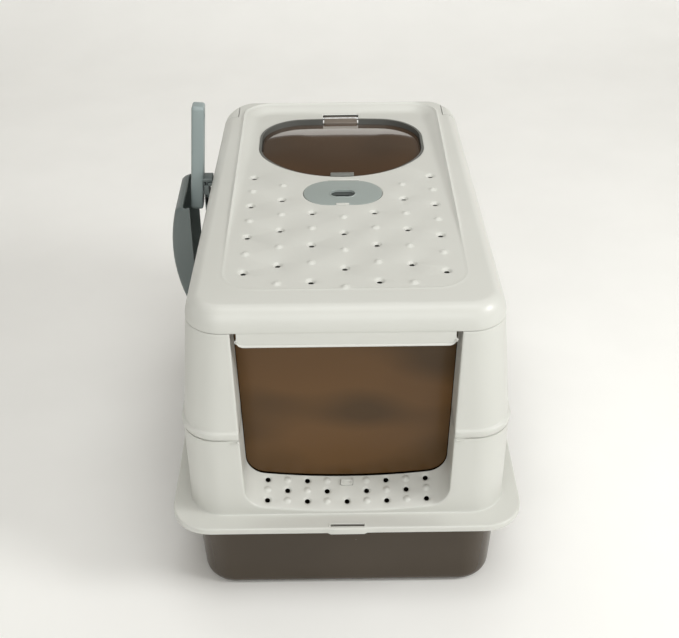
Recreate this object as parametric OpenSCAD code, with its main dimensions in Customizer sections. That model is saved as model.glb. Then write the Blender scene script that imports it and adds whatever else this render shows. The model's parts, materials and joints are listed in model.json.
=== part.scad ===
// Hooded cat litter box.
// A pan carries a two-part hood with a front entrance and a swing door.
// A hinged top cover holds a second, latched window door, and a scoop hangs on the side.
// X is the width, Y runs from the front (-Y) to the back, Z is the height above the floor.

/* [Pan] */
// Height of the hood rim's upper face above the floor
rim_z = 124; // [120:1:130]
// Half width of the pan just below the rim
pan_top_hw = 181.5; // [178:0.5:184]
// Half width of the pan where the bottom rounding starts
pan_bottom_hw = 176; // [172:0.5:178]
// How far the pan's front stands back from the rim's front edge
pan_back_set = 27; // [26:0.5:32]
// Width of the rounding under the pan
pan_round = 10; // [6:1:14]

/* [Rim] */
// Width over the rim
rim_w = 410; // [406:1:420]
// Length over the rim
rim_l = 610; // [606:1:620]
// Height of the lip that hangs from the rim
lip_h = 8.5; // [7:0.5:10]
// Corner radius of the rim in plan
rim_r = 46; // [40:1:50]
// Width of the slot in the front of the rim
rim_slot_w = 39; // [30:1:44]
// Length of the slot along Y
rim_slot_l = 9.4; // [8:0.2:11]

/* [Hood] */
// Wall thickness of every moulded shell
wall = 2.5; // [2:0.1:3]
// Half width of the lower frame at the rim
base_hw = 185.5; // [184:0.5:187]
// Half width of the upper frame at the lid seam, at the front
seam_hw = 174.5; // [172:0.5:176]
// How much narrower the hood's top is on each side at the back
back_taper = 8.8; // [7:0.2:10]
// Height of the lower edge of the upper frame's lap
lap_z = 235; // [233:1:238]
// Height of the straight part of the lap
lap_h = 11; // [9:0.5:12]
// Height of the seam between the upper frame and the top cover
seam_z = 373; // [370:1:376]
// Height of the top cover's ridge
top_z = 402; // [400:1:404]

/* [Entrance] */
// Half width of the entrance at its lower corners
mouth_hw_low = 118.5; // [114:0.5:120]
// Half width of the entrance at its upper end
mouth_hw_high = 125.5; // [124:0.5:127]
// Radius of the entrance's lower corners
mouth_r = 25; // [20:1:30]
// Sag of the entrance's lower edge between its corners
mouth_bow = 5.6; // [4:0.2:7]
// Upward slope of the sill towards the inside, in degrees
sill_angle = 20; // [16:1:22]
// Length of the sill along Y
sill_l = 43; // [40:1:46]

/* [Window] */
// Half width of the opening for the window
window_a = 110.4; // [108:0.2:112]
// Half length of the opening for the window
window_b = 93.3; // [91:0.1:94]
// Radius of the opening's front corners
window_end_r = 72; // [68:1:76]
// Radius of the opening's rear corners
window_back_r = 60; // [56:1:64]
// Y of the middle of the window
window_y = 140.3; // [139:0.1:141]
// Radius of the window's arch
dome_r = 560; // [500:10:640]

/* [Latch] */
// Half width of the latch's cover plate
latch_a = 49; // [46:1:52]
// Half length of the latch's cover plate
latch_b = 33; // [31:1:34]
// Travel of the latch
latch_travel = 5; // [4:0.5:5]

/* [Scoop] */
// X of the middle of the scoop's handle, on the left side
scoop_x = -190; // [-191:0.5:-189]
// Y of the middle of the scoop
scoop_y = 100; // [98:1:104]
// Height of the handle's upper end
handle_top_z = 477; // [470:1:480]
// How far the blade bulges out from the handle
blade_bulge = 36; // [30:1:38]

/* [Hidden] */
$fn = 64;
gap = 0.4;
rim_hw = rim_w / 2;
rim_hl = rim_l / 2;
hull_fn = 32;

// Half lengths of the shells, measured from the middle of the rim
pan_top_hl = rim_hl - pan_back_set;
pan_bottom_hl = pan_top_hl - 5;
base_hl = rim_hl - 24;
collar_hw = base_hw - 1.7;
collar_hl = base_hl - 3;
collar_z = lap_z + 12;
lap_hw = base_hw + 2.1;
lap_hl = base_hl - 0.5;
seam_hl = rim_hl - 33;
back_low = 7;
back_mid = 9;
back_top = 12;
seam_bl = seam_hl + back_top;
plan_r = 42;

// The entrance's outline stands in a frame that leans back by the sill's angle
mouth_y = -base_hl;
mouth_z = rim_z + 4.5;
mouth_top = 290;
mouth_bow_r = (pow(mouth_hw_low - mouth_r, 2) + mouth_bow * mouth_bow) / (2 * mouth_bow);
drain_pitch_x = 23.3;
drain_rows = [13, 26.5, 40];
drain_r = 3;

// Swing door
door_y = mouth_y + sill_l + 2.6;
door_pivot_z = seam_z - 11;
door_t = 2;
door_gap = 1.6;
door_pin_r = 2.5;
run = 0.05;

// Lid hinge in the rear corners
ear_x = 144;
ear_y = 233;
ear_pivot_y = 250;
ear_pivot_z = 389;
ear_swing_r = 16.6;
ear_peg = [156.5, 244];
ear_peg_r = 3;
ear_bore = 9.5;
rear_wall_z = seam_z - 5.4;
lid_pin_r = 3;

// The dish in the top of the lid leans down towards the back
dish_y = -110;
dish_angle = 1.3;
dish_hw = 134;
dish_back = 275;
perf_pitch_x = 37.4;
perf_pitch_y = 40;
perf_r = 3;
// Each column, from the middle outwards: Y of its rearmost item, number of items, hole comes first
perf_columns = [[-66, 5, 0], [-54, 5, 1], [22, 7, 0], [46, 7, 1]];

// Window and its hinge
ring_t = 3;
window_gap = 1;
window_top_z = 398.5;
window_low_z = 388;
window_pivot_y = 246;
window_pivot_z = 391;
window_pin_r = 2;
leaf_hw = 23.4;

// Latch
latch_y = -0.5;
latch_top_z = 399.9;
plate_t = 2.5;
button_y = -3.3;
bolt_z = latch_top_z - plate_t - 4;
bolt_t = 3;

// Scoop and its hanger
hanger_x = -175.8;
hanger_hw = 12;
hanger_top_z = 366;
hanger_low_z = 324;
blade_top_z = 354;
blade_mid_z = 290;
blade_low_z = 205;
handle_lean = 4.56;

// ---------- shared shapes ----------

// One level of a shell: height, half width at the front, half width at the back, length of the
// front half, corner radius, and how much longer the rear half is
function level(z, hw_front, hw_back, hl, r, back = 0) = [z, hw_front, hw_back, hl, r, back];
function inset(levels, t) = [for (l = levels) [l[0], l[1] - t, l[2] - t, l[3] - t, l[4] - t, l[5]]];

// A tapered body with round corners through all its levels
module loft(levels) {
  hull()
    for (l = levels, sx = [-1, 1], sy = [-1, 1])
      translate([sx * ((sy < 0 ? l[1] : l[2]) - l[4]), sy < 0 ? l[4] - l[3] : l[3] + l[5] - l[4], l[0]])
        cylinder(r = l[4], h = 0.02, $fn = hull_fn);
}

// Rectangle with round corners, centred on the origin
module round_rect(hx, hy, r) {
  square([2 * hx, 2 * (hy - r)], center = true);
  square([2 * (hx - r), 2 * hy], center = true);
  for (sx = [-1, 1], sy = [-1, 1])
    translate([sx * (hx - r), sy * (hy - r)])
      circle(r);
}

// Oval of four arcs with half axes a and b and end radius r
module oval(a, b, r) {
  e = a - r;
  big = (e * e + b * b - r * r) / (2 * (b - r));
  join_x = e + r * e / (big - r);
  intersection() {
    translate([0, big - b])
      circle(big, $fn = 128);
    translate([0, b - big])
      circle(big, $fn = 128);
    square([2 * join_x, 2 * b], center = true);
  }
  for (s = [-1, 1])
    translate([s * e, 0])
      circle(r, $fn = 128);
}

// Outline of the window's opening: an oval front half and a fuller rear half
module window_oval(grow) {
  a = window_a + grow;
  b = window_b + grow;
  r = window_back_r + grow;
  arch = 900;
  translate([0, window_y]) {
    intersection() {
      oval(a, b, window_end_r + grow);
      translate([-a, -b])
        square([2 * a, b + 0.01]);
    }
    intersection() {
      translate([0, b - arch])
        circle(arch, $fn = 720);
      union() {
        translate([-a, 0])
          square([2 * a, window_b - window_back_r - 1.7]);
        translate([r - a, 0])
          square([2 * (a - r), b]);
        for (s = [-1, 1])
          translate([s * (a - r), window_b - window_back_r - 1.7])
            circle(r, $fn = 128);
      }
      translate([-a, 0])
        square([2 * a, b]);
    }
  }
}

module rod_x(r, x0, x1) {
  translate([x0, 0, 0])
    rotate([0, 90, 0])
      cylinder(r = r, h = x1 - x0);
}

module box(low, high) {
  translate(low)
    cube(high - low);
}

// ---------- entrance ----------

// Outline of the entrance, grown by g
module mouth_outline(g) {
  cx = mouth_hw_low - mouth_r;
  cy = mouth_bow + mouth_r;
  intersection() {
    translate([0, mouth_bow_r])
      circle(mouth_bow_r + g, $fn = 360);
    union() {
      polygon([
        [-mouth_hw_low - g, cy], [mouth_hw_low + g, cy],
        [mouth_hw_high + g, mouth_top], [-mouth_hw_high - g, mouth_top]
      ]);
      translate([-cx, -g - 1])
        square([2 * cx, cy + g + 2]);
      for (s = [-1, 1])
        translate([s * cx, cy])
          circle(mouth_r + g);
    }
  }
}

module in_sill_frame() {
  translate([0, mouth_y, mouth_z])
    rotate([sill_angle, 0, 0])
      children();
}

module mouth_tunnel(g) {
  in_sill_frame()
    translate([0, 160, 0])
      rotate([90, 0, 0])
        linear_extrude(170)
          mouth_outline(g);
}

module tunnel_walls(z0, z1) {
  intersection() {
    mouth_tunnel(wall);
    box([-140, mouth_y + 1, z0], [140, mouth_y + sill_l, z1]);
  }
}

module at_drains(holes) {
  for (row = [0:2], col = [-4:4]) {
    is_hole = (row + col) % 2 == 0;
    is_lock = col == 0 && row > 0;
    x = col * drain_pitch_x;
    if (is_hole == holes && !is_lock)
      in_sill_frame()
        translate([x, drain_rows[row], x * x / (2 * mouth_bow_r)])
          children();
  }
}

// Low round bump on a surface at z = 0
module bump(r, h) {
  ball = (r * r + h * h) / (2 * h);
  intersection() {
    translate([0, 0, h - ball])
      sphere(ball);
    box([-r, -r, -1], [r, r, h + 1]);
  }
}

// ---------- pan ----------

pan_levels = [
  level(0, pan_bottom_hw - pan_round, pan_bottom_hw - pan_round, pan_bottom_hl - pan_round, 30),
  level(3, pan_bottom_hw - 3, pan_bottom_hw - 3, pan_bottom_hl - 3, 37),
  level(pan_round, pan_bottom_hw, pan_bottom_hw, pan_bottom_hl, plan_r - 2),
  level(rim_z - 3, pan_top_hw, pan_top_hw, pan_top_hl, plan_r)
];
pan_hollow = [
  level(wall, pan_bottom_hw - pan_round, pan_bottom_hw - pan_round, pan_bottom_hl - pan_round, 30),
  level(pan_round, pan_bottom_hw - wall, pan_bottom_hw - wall, pan_bottom_hl - wall, plan_r - 4.5),
  level(rim_z, pan_top_hw - wall, pan_top_hw - wall, pan_top_hl - wall, plan_r - wall)
];

module litter_pan() {
  color([0.29, 0.26, 0.23])
    difference() {
      union() {
        loft(pan_levels);
        translate([0, 0, rim_z - wall - gap - 2.4])
          linear_extrude(2.4)
            round_rect(rim_hw - wall - 1, rim_hl - wall - 1, rim_r - wall - 1);
      }
      loft(pan_hollow);
      translate([0, 0, rim_z - wall - gap])
        cylinder(r = 2 * rim_hl, h = 2 * wall);
    }
}

// ---------- hood frames ----------

lower_walls = [
  level(rim_z - wall, base_hw, base_hw, base_hl, plan_r, back_low),
  level(collar_z, collar_hw, collar_hw, collar_hl, plan_r, back_mid)
];
lower_hollow = [
  level(rim_z - wall - 1, base_hw - wall, base_hw - wall, base_hl - wall, plan_r - wall, back_low),
  level(collar_z + 1, collar_hw - wall, collar_hw - wall, collar_hl - wall, plan_r - wall, back_mid)
];

module lower_frame() {
  color([0.87, 0.87, 0.84])
    difference() {
      union() {
        difference() {
          union() {
            loft(lower_walls);
            translate([0, 0, rim_z - wall])
              linear_extrude(wall)
                round_rect(rim_hw, rim_hl, rim_r);
          }
          loft(lower_hollow);
        }
        translate([0, 0, rim_z - lip_h])
          linear_extrude(lip_h - 1)
            difference() {
              round_rect(rim_hw, rim_hl, rim_r);
              round_rect(rim_hw - wall, rim_hl - wall, rim_r - wall);
            }
        intersection() {
          tunnel_walls(rim_z - 0.5, collar_z);
          loft(lower_walls);
        }
        translate([0, -rim_hl + 3, rim_z - lip_h - 1])
          linear_extrude(lip_h)
            round_rect(rim_slot_w / 2 + 3, 4.2, 2);
      }
      mouth_tunnel(0);
      translate([0, -rim_hl + 4.4 + wall, rim_z - lip_h - 2])
        linear_extrude(lip_h - wall + 2)
          square([rim_slot_w + 10, 9], center = true);
      translate([0, -rim_hl + 2.8 + rim_slot_l / 2, rim_z - 2 * wall])
        linear_extrude(3 * wall)
          round_rect(rim_slot_w / 2, rim_slot_l / 2, 2);
      at_drains(true)
        translate([0, 0, -2 * wall])
          cylinder(r = drain_r, h = 4 * wall);
      in_sill_frame()
        box([-8, drain_rows[2] - 7, -3 * wall], [8, drain_rows[2] + 2, 3 * wall]);
    }
  color([0.87, 0.87, 0.84])
    at_drains(false)
      bump(4, 1.6);
}

upper_walls = [
  level(lap_z, base_hw + 0.5, base_hw + 0.5, base_hl - 2.5, plan_r, back_mid),
  level(seam_z - 0.3, seam_hw, seam_hw - back_taper, seam_hl, plan_r, back_top)
];
lap_skirt = [
  level(lap_z, lap_hw, lap_hw, lap_hl, plan_r + 2, back_mid),
  level(lap_z + lap_h, lap_hw, lap_hw, lap_hl, plan_r + 2, back_mid),
  level(lap_z + 21, lap_hw - 3.7, lap_hw - 4.5, lap_hl - 3.2, plan_r, back_mid)
];
collar_pocket = [
  level(lap_z - 1, collar_hw + 0.6, collar_hw + 0.6, collar_hl + 0.8, plan_r, back_mid),
  level(collar_z + gap, collar_hw + 0.4, collar_hw + 0.4, collar_hl + 0.5, plan_r, back_mid)
];

module upper_frame() {
  color([0.87, 0.87, 0.84])
    difference() {
      union() {
        difference() {
          union() {
            loft(upper_walls);
            loft(lap_skirt);
          }
          loft(inset([
            level(lap_z - 1, base_hw + 0.4, base_hw + 0.4, base_hl - 2.5, plan_r, back_mid),
            level(seam_z - 5, seam_hw + 0.5, seam_hw - back_taper + 0.5, seam_hl + 0.2, plan_r, back_top)
          ], wall));
          loft(inset([
            level(seam_z - 6, seam_hw, seam_hw - back_taper, seam_hl, plan_r, back_top),
            level(seam_z, seam_hw, seam_hw - back_taper, seam_hl, plan_r, back_top)
          ], 4 * wall));
          loft(collar_pocket);
        }
        intersection() {
          tunnel_walls(collar_z + gap, seam_z - 0.3);
          loft(upper_walls);
        }
      }
      mouth_tunnel(0);
      // Low stretch of the rear wall, and no ledge, where the cover's edge swings past
      box([-ear_x, seam_bl - 5 * wall, rear_wall_z], [ear_x, seam_bl + 1, seam_z + 1]);
      intersection() {
        box([-ear_x, ear_y - 8, seam_z - 14], [ear_x, seam_bl - wall, seam_z + 1]);
        loft(inset([
          level(seam_z - 15, seam_hw, seam_hw - back_taper, seam_hl, plan_r, back_top),
          level(seam_z + 1, seam_hw, seam_hw - back_taper, seam_hl, plan_r, back_top)
        ], wall));
      }
      // Notches for a scoop hanger on either side
      for (s = [-1, 1])
        box([s * 168 - 15, scoop_y - hanger_hw - 1, hanger_top_z],
          [s * 168 + 15, scoop_y + hanger_hw + 1, seam_z + 1]);
      for (s = [-1, 1])
        translate([s * ear_peg[0], ear_peg[1], seam_z - 8])
          cylinder(r = ear_peg_r, h = 12);
    }
}

// ---------- lid hinge ----------

cover_levels = [
  level(seam_z, seam_hw, seam_hw - back_taper, seam_hl, plan_r, back_top),
  level(seam_z + 13, seam_hw - 1.5, seam_hw - back_taper - 1.5, seam_hl - 1.5, plan_r - 1, back_top),
  level(top_z - 6, seam_hw - 5.5, seam_hw - back_taper - 5.5, seam_hl - 5, plan_r - 4, back_top),
  level(top_z - 2, seam_hw - 10, seam_hw - back_taper - 10, seam_hl - 9, plan_r - 7, back_top + 2),
  level(top_z, seam_hw - 18, seam_hw - back_taper - 18, seam_hl - 16, plan_r - 13, back_top + 6)
];

module at_lid_pivot() {
  translate([0, ear_pivot_y, ear_pivot_z])
    children();
}

module hinge_ear() {
  color([0.8, 0.8, 0.77])
    difference() {
      union() {
        intersection() {
          loft(cover_levels);
          union() {
            box([ear_x, ear_y, seam_z], [rim_hw, ear_pivot_y, ear_pivot_z]);
            box([ear_x, ear_pivot_y, seam_z], [rim_hw, rim_hl, top_z]);
            at_lid_pivot()
              rod_x(ear_swing_r, ear_x, rim_hw);
          }
        }
        translate([ear_peg[0], ear_peg[1], seam_z - 7])
          cylinder(r = ear_peg_r, h = 8);
      }
      at_lid_pivot()
        rod_x(lid_pin_r, ear_x - 1, ear_x + ear_bore);
    }
}

module hinge_ear_right() {
  hinge_ear();
}

module hinge_ear_left() {
  mirror([1, 0, 0])
    hinge_ear();
}

module lid_hinge_pins() {
  color("silver")
    at_lid_pivot()
      for (s = [0, 1])
        mirror([s, 0, 0])
          rod_x(lid_pin_r, ear_x - 12, ear_x + ear_bore);
}

// ---------- top cover ----------

module in_dish_frame() {
  translate([0, dish_y, top_z])
    rotate([-dish_angle, 0, 0])
      children();
}

module dish(grow, drop, h) {
  in_dish_frame()
    translate([0, (dish_back - dish_y) / 2, -drop])
      linear_extrude(h)
        round_rect(dish_hw + grow, (dish_back - dish_y) / 2 + grow, 38 + grow);
}

module at_perforations(holes) {
  for (col = [-3:3]) {
    spec = perf_columns[abs(col)];
    for (i = [0:spec[1] - 1])
      if (((i + spec[2]) % 2 == 1) == holes)
        let (y = spec[0] - i * perf_pitch_y, run_up = max(0, y - dish_y))
          translate([col * perf_pitch_x, y, top_z])
            rotate([run_up > 0 ? -dish_angle : 0, 0, 0])
              translate([0, 0, -run_up * sin(dish_angle)])
                children();
  }
}

module latch_stadium(grow) {
  translate([0, latch_y])
    round_rect(latch_a + grow, latch_b + grow, latch_b + grow - 0.01);
}

module top_cover() {
  color([0.87, 0.87, 0.84])
    difference() {
      union() {
        difference() {
          loft(cover_levels);
          translate([0, 0, -wall])
            loft(inset(cover_levels, wall));
          dish(0, 0, 40);
        }
        intersection() {
          loft(cover_levels);
          difference() {
            dish(wall, wall, 40);
            dish(0, 0, 40);
          }
        }
        // Apron over the top of the entrance
        translate([0, -seam_hl + wall, seam_z - 17.5])
          rotate([90, 0, 0])
            linear_extrude(wall)
              union() {
                translate([0, 10])
                  round_rect(117, 10, 6);
                translate([-117, 10])
                  square([234, 12]);
              }
        // Seat under the latch's cover plate
        translate([0, 0, latch_top_z - 2 * wall])
          linear_extrude(2 * wall - 1.2)
            latch_stadium(wall);
        // Bosses that hold the window's hinge pin
        for (s = [-1, 1])
          box([s * 29 - 4, window_pivot_y - 5, window_pivot_z - 5],
            [s * 29 + 4, window_pivot_y + 5, window_pivot_z + 2]);
        // Knuckles that turn on the hinge pins
        for (s = [-1, 1])
          intersection() {
            at_lid_pivot()
              translate([s * (ear_x - 7.6), 0, 0])
                union() {
                  rod_x(6, -5, 5);
                  box([-5, -6, 0], [5, 6, 12]);
                }
            loft(cover_levels);
          }
      }
      // Corners that the hinge ears fill
      for (s = [-1, 1])
        box([s * (ear_x + 30) - 30.6, ear_y - 1, seam_z - 1], [s * (ear_x + 30) + 30.6, rim_hl, top_z + 1]);
      at_lid_pivot()
        rod_x(lid_pin_r + run, -ear_x - 1, -ear_x + 14);
      at_lid_pivot()
        rod_x(lid_pin_r + run, ear_x - 14, ear_x + 1);
      // Notches over the scoop hanger
      for (s = [-1, 1])
        box([s * 170 - 12, scoop_y - hanger_hw - 1, seam_z - 1],
          [s * 170 + 12, scoop_y + hanger_hw + 1, seam_z + 9]);
      translate([0, 0, seam_z - 1])
        linear_extrude(40)
          window_oval(0);
      // Recess for the window's hinge
      box([-leaf_hw - 1.5, window_y + window_b - 8, window_pivot_z - 10],
        [leaf_hw + 1.5, window_pivot_y + 9, top_z + 1]);
      translate([0, window_pivot_y, window_pivot_z])
        rod_x(window_pin_r, -leaf_hw - 9, leaf_hw + 9);
      translate([0, 0, latch_top_z - plate_t])
        linear_extrude(plate_t + 5)
          latch_stadium(0);
      // Well for the button and the bolt below the cover plate
      box([-17, button_y - 18, latch_top_z - 5 * wall], [17, button_y + 16, latch_top_z]);
      box([-10, button_y, latch_top_z - 5 * wall], [10, window_y, bolt_z + bolt_t + gap]);
      at_perforations(true)
        translate([0, 0, -3 * wall])
          cylinder(r = perf_r, h = 6 * wall);
    }
  color([0.87, 0.87, 0.84])
    at_perforations(false)
      bump(5, 2);
}

// ---------- window ----------

module window_ring() {
  color([0.42, 0.46, 0.45])
    difference() {
      union() {
        translate([0, 0, window_low_z - 3])
          linear_extrude(11.5)
            difference() {
              window_oval(0);
              window_oval(-ring_t);
            }
        translate([0, 0, window_low_z - 3])
          linear_extrude(2.4)
            difference() {
              window_oval(0);
              window_oval(-3 * ring_t);
            }
      }
      box([-leaf_hw - 1.5, window_y + window_b - 12, window_low_z - 0.5],
        [leaf_hw + 1.5, window_pivot_y, top_z]);
      box([-16, window_y - window_b - 2, window_low_z - 4], [16, window_y - window_b + 14, top_z]);
    }
}

module under_arch(drop) {
  translate([0, window_y - 120, window_top_z - dome_r - drop])
    rotate([-90, 0, 0])
      cylinder(r = dome_r, h = 240, $fn = 720);
}

module window_dome() {
  color([0.3, 0.22, 0.17, 0.8])
    difference() {
      intersection() {
        translate([0, 0, window_low_z])
          linear_extrude(20)
            window_oval(-ring_t - window_gap);
        under_arch(0);
      }
      intersection() {
        translate([0, 0, window_low_z - 1])
          linear_extrude(20)
            window_oval(-ring_t - window_gap - wall);
        under_arch(wall);
      }
    }
}

module window_hinge_block() {
  color([0.45, 0.43, 0.4])
    difference() {
      union() {
        translate([0, window_pivot_y, window_pivot_z])
          rod_x(4.5, -leaf_hw, leaf_hw);
        box([-leaf_hw, window_y + window_b - ring_t - window_gap, window_pivot_z - 2],
          [leaf_hw, window_pivot_y, window_pivot_z + 4]);
      }
      translate([0, window_pivot_y, window_pivot_z])
        rod_x(window_pin_r + run, -leaf_hw - 1, leaf_hw + 1);
      translate([0, 0, window_low_z - 1])
        linear_extrude(20)
          window_oval(-ring_t - window_gap);
    }
}

module window_hinge_pin() {
  color("silver")
    translate([0, window_pivot_y, window_pivot_z])
      rod_x(window_pin_r, -leaf_hw - 8, leaf_hw + 8);
}

module window_catch() {
  front = window_y - window_b;
  color([0.5, 0.54, 0.53])
    difference() {
      union() {
        box([-15, front + 4.2, window_top_z + 0.05], [15, front + 12, window_top_z + 2]);
        box([-15, front + 1.6, bolt_z - 4], [15, front + 3.8, window_top_z + 2]);
        box([-15, front + 3.8, window_top_z + 0.05], [15, front + 4.3, window_top_z + 2]);
      }
      box([-9, front, bolt_z - 1], [9, front + 6, bolt_z + bolt_t + 1]);
    }
}

// ---------- latch ----------

module latch_opening(grow) {
  translate([0, button_y])
    round_rect(15 + grow, 8.8 + grow, 8.7 + grow);
}

module latch_plate() {
  color([0.64, 0.68, 0.66])
    translate([0, 0, latch_top_z - plate_t])
      difference() {
        union() {
          linear_extrude(plate_t)
            latch_stadium(-0.3);
          linear_extrude(plate_t + 0.8)
            latch_opening(1.6);
        }
        translate([0, 0, -1])
          linear_extrude(plate_t + 3)
            latch_opening(0);
      }
}

// Slider below the cover plate, with a ridge for the fingertip
module latch_button() {
  low = bolt_z + bolt_t;
  high = latch_top_z - plate_t - 0.1;
  color([0.4, 0.43, 0.42])
    union() {
      box([-16, button_y - 9.4, low], [16, button_y + 15.2, high]);
      box([-8, button_y - 1.2, high], [8, button_y + 1.2, high + 1.6]);
    }
}

module latch_bolt() {
  front = window_y - window_b;
  color([0.7, 0.73, 0.71])
    union() {
      box([-13, button_y - 6, bolt_z], [13, button_y + 8, bolt_z + bolt_t]);
      box([-8, button_y + 7, bolt_z], [8, front + 3.7, bolt_z + bolt_t]);
    }
}

// Open coil along +Z, of a round wire with six flats
module coil(r, wire_r, turns, h) {
  per_turn = 12;
  rings = turns * per_turn;
  points = [
    for (i = [0:rings], k = [0:5])
      let (a = 360 * i / per_turn, b = 60 * k, out = r + wire_r * cos(b))
        [out * cos(a), out * sin(a), wire_r + (h - 2 * wire_r) * i / rings + wire_r * sin(b)]
  ];
  sides = [
    for (i = [0:rings - 1], k = [0:5])
      let (a = 6 * i + k, b = 6 * i + (k + 1) % 6)
        [a, a + 6, b + 6, b]
  ];
  polyhedron(points, concat(sides, [[0, 1, 2, 3, 4, 5], [for (k = [5:-1:0]) 6 * rings + k]]));
}

// Compression spring between the housing's front wall and the bolt
module latch_spring() {
  color("silver")
    translate([0, button_y - 16.8, bolt_z + 0.4])
      rotate([-90, 0, 0])
        coil(1.9, 0.35, 5, 10.6);
}

module latch_housing() {
  color([0.8, 0.8, 0.77])
    difference() {
      box([-24, button_y - 22, bolt_z - 5], [24, button_y + 17, latch_top_z - 2 * wall - 0.1]);
      box([-14, button_y - 17, bolt_z - 2.6], [14, button_y + 18, bolt_z + 5]);
      at_housing_screws()
        cylinder(r = 1.7, h = 20, center = true);
    }
}

module at_housing_screws() {
  for (sx = [-1, 1], sy = [-1, 1])
    translate([sx * 20, button_y - 2.5 + sy * 15, bolt_z - 5])
      children();
}

module housing_screws() {
  color("silver")
    at_housing_screws() {
      cylinder(r = 1.5, h = 8);
      translate([0, 0, -1.6])
        cylinder(r = 3, h = 1.6);
    }
}

// ---------- swing door ----------

module at_door_pivot() {
  translate([0, door_y, door_pivot_z])
    children();
}

module front_door() {
  color([0.4, 0.3, 0.22, 0.7])
    difference() {
      union() {
        intersection() {
          translate([0, door_y + door_t / 2, mouth_z + sill_l * tan(sill_angle) + 1])
            rotate([90, 0, 0])
              linear_extrude(door_t)
                mouth_outline(-door_gap);
          box([-mouth_hw_high, door_y - 5, rim_z], [mouth_hw_high, door_y + 5, door_pivot_z]);
        }
        at_door_pivot()
          rod_x(5, -mouth_hw_low, mouth_hw_low);
      }
      // Upper corners cut away round the brackets
      for (s = [-1, 1])
        translate([s * (mouth_hw_low + 10), door_y, door_pivot_z])
          box([-10, -6, -12.6], [10, 6, 1]);
      for (s = [0, 1])
        mirror([s, 0, 0])
          at_door_pivot()
            rod_x(door_pin_r + run, mouth_hw_low - 14, mouth_hw_low + 1);
    }
}

module door_bracket() {
  color([0.8, 0.8, 0.77])
    difference() {
      box([mouth_hw_low + 0.7, door_y - 8, door_pivot_z - 8],
        [mouth_hw_low + 9, door_y + 8, door_pivot_z + 8]);
      intersection() {
        mouth_tunnel(wall + 0.01);
        box([0, door_y - 9, rim_z], [rim_hw, mouth_y + sill_l + 0.05, seam_z]);
      }
      at_door_pivot()
        rod_x(door_pin_r, mouth_hw_low, mouth_hw_low + 7);
    }
}

module door_bracket_right() {
  door_bracket();
}

module door_bracket_left() {
  mirror([1, 0, 0])
    door_bracket();
}

module door_hinge_pins() {
  color("silver")
    for (s = [0, 1])
      mirror([s, 0, 0])
        at_door_pivot()
          rod_x(door_pin_r, mouth_hw_low - 13, mouth_hw_low + 7);
}

// ---------- door lock in the sill ----------

module door_lock() {
  color([0.87, 0.87, 0.84])
    in_sill_frame()
      translate([0, drain_rows[2] - 2.5, -7])
        difference() {
          linear_extrude(10)
            round_rect(7.3, 4, 1.5);
          box([-5, -6, 7], [5, -2.4, 11]);
        }
}

module lock_guide() {
  color([0.8, 0.8, 0.77])
    in_sill_frame()
      translate([0, drain_rows[2] - 2.5, -12])
        difference() {
          linear_extrude(12 - wall - 0.02)
            round_rect(10.5, 6.6, 1.5);
          translate([0, 0, 1.5])
            linear_extrude(12)
              round_rect(7.6, 4.3, 1.5);
        }
}

// ---------- scoop ----------

module scoop_hanger() {
  low_x = scoop_x + 7.4;
  color([0.35, 0.39, 0.38])
    difference() {
      union() {
        box([low_x, scoop_y - hanger_hw, hanger_low_z], [hanger_x, scoop_y + hanger_hw, hanger_top_z + 0.4]);
        box([low_x, scoop_y - hanger_hw, hanger_top_z + 0.4], [-158, scoop_y + hanger_hw, hanger_top_z + 4]);
        box([-160.5, scoop_y - hanger_hw, hanger_top_z - 14], [-158, scoop_y + hanger_hw, hanger_top_z + 4]);
      }
      box([low_x + 1.2, scoop_y - 8, hanger_low_z + 6], [hanger_x - 1.2, scoop_y + 8, hanger_top_z + 5]);
      translate([(low_x + hanger_x) / 2 - 0.2, scoop_y, (hanger_low_z + hanger_top_z) / 2])
        rotate([90, 0, 0])
          linear_extrude(400, center = true)
            round_rect(2.1, 8, 2);
    }
}

// Side view of the blade: a shallow curve with a round shoulder at its upper end
module blade_profile(t) {
  r = 229;
  intersection() {
    translate([scoop_x - blade_bulge + r, blade_mid_z])
      circle(r - t, $fn = 720);
    union() {
      translate([scoop_x - blade_bulge - 5, blade_low_z])
        square([blade_bulge - 3, blade_top_z - blade_low_z - 16]);
      translate([scoop_x - 17, blade_low_z])
        square([9, blade_top_z - blade_low_z - t]);
      translate([scoop_x - 17, blade_top_z - 16])
        circle(16 - t);
    }
  }
}

// The handle leans in towards the hood as it rises
module at_handle() {
  translate([scoop_x, scoop_y, hanger_top_z + 19])
    rotate([0, handle_lean, 0])
      children();
}

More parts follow.
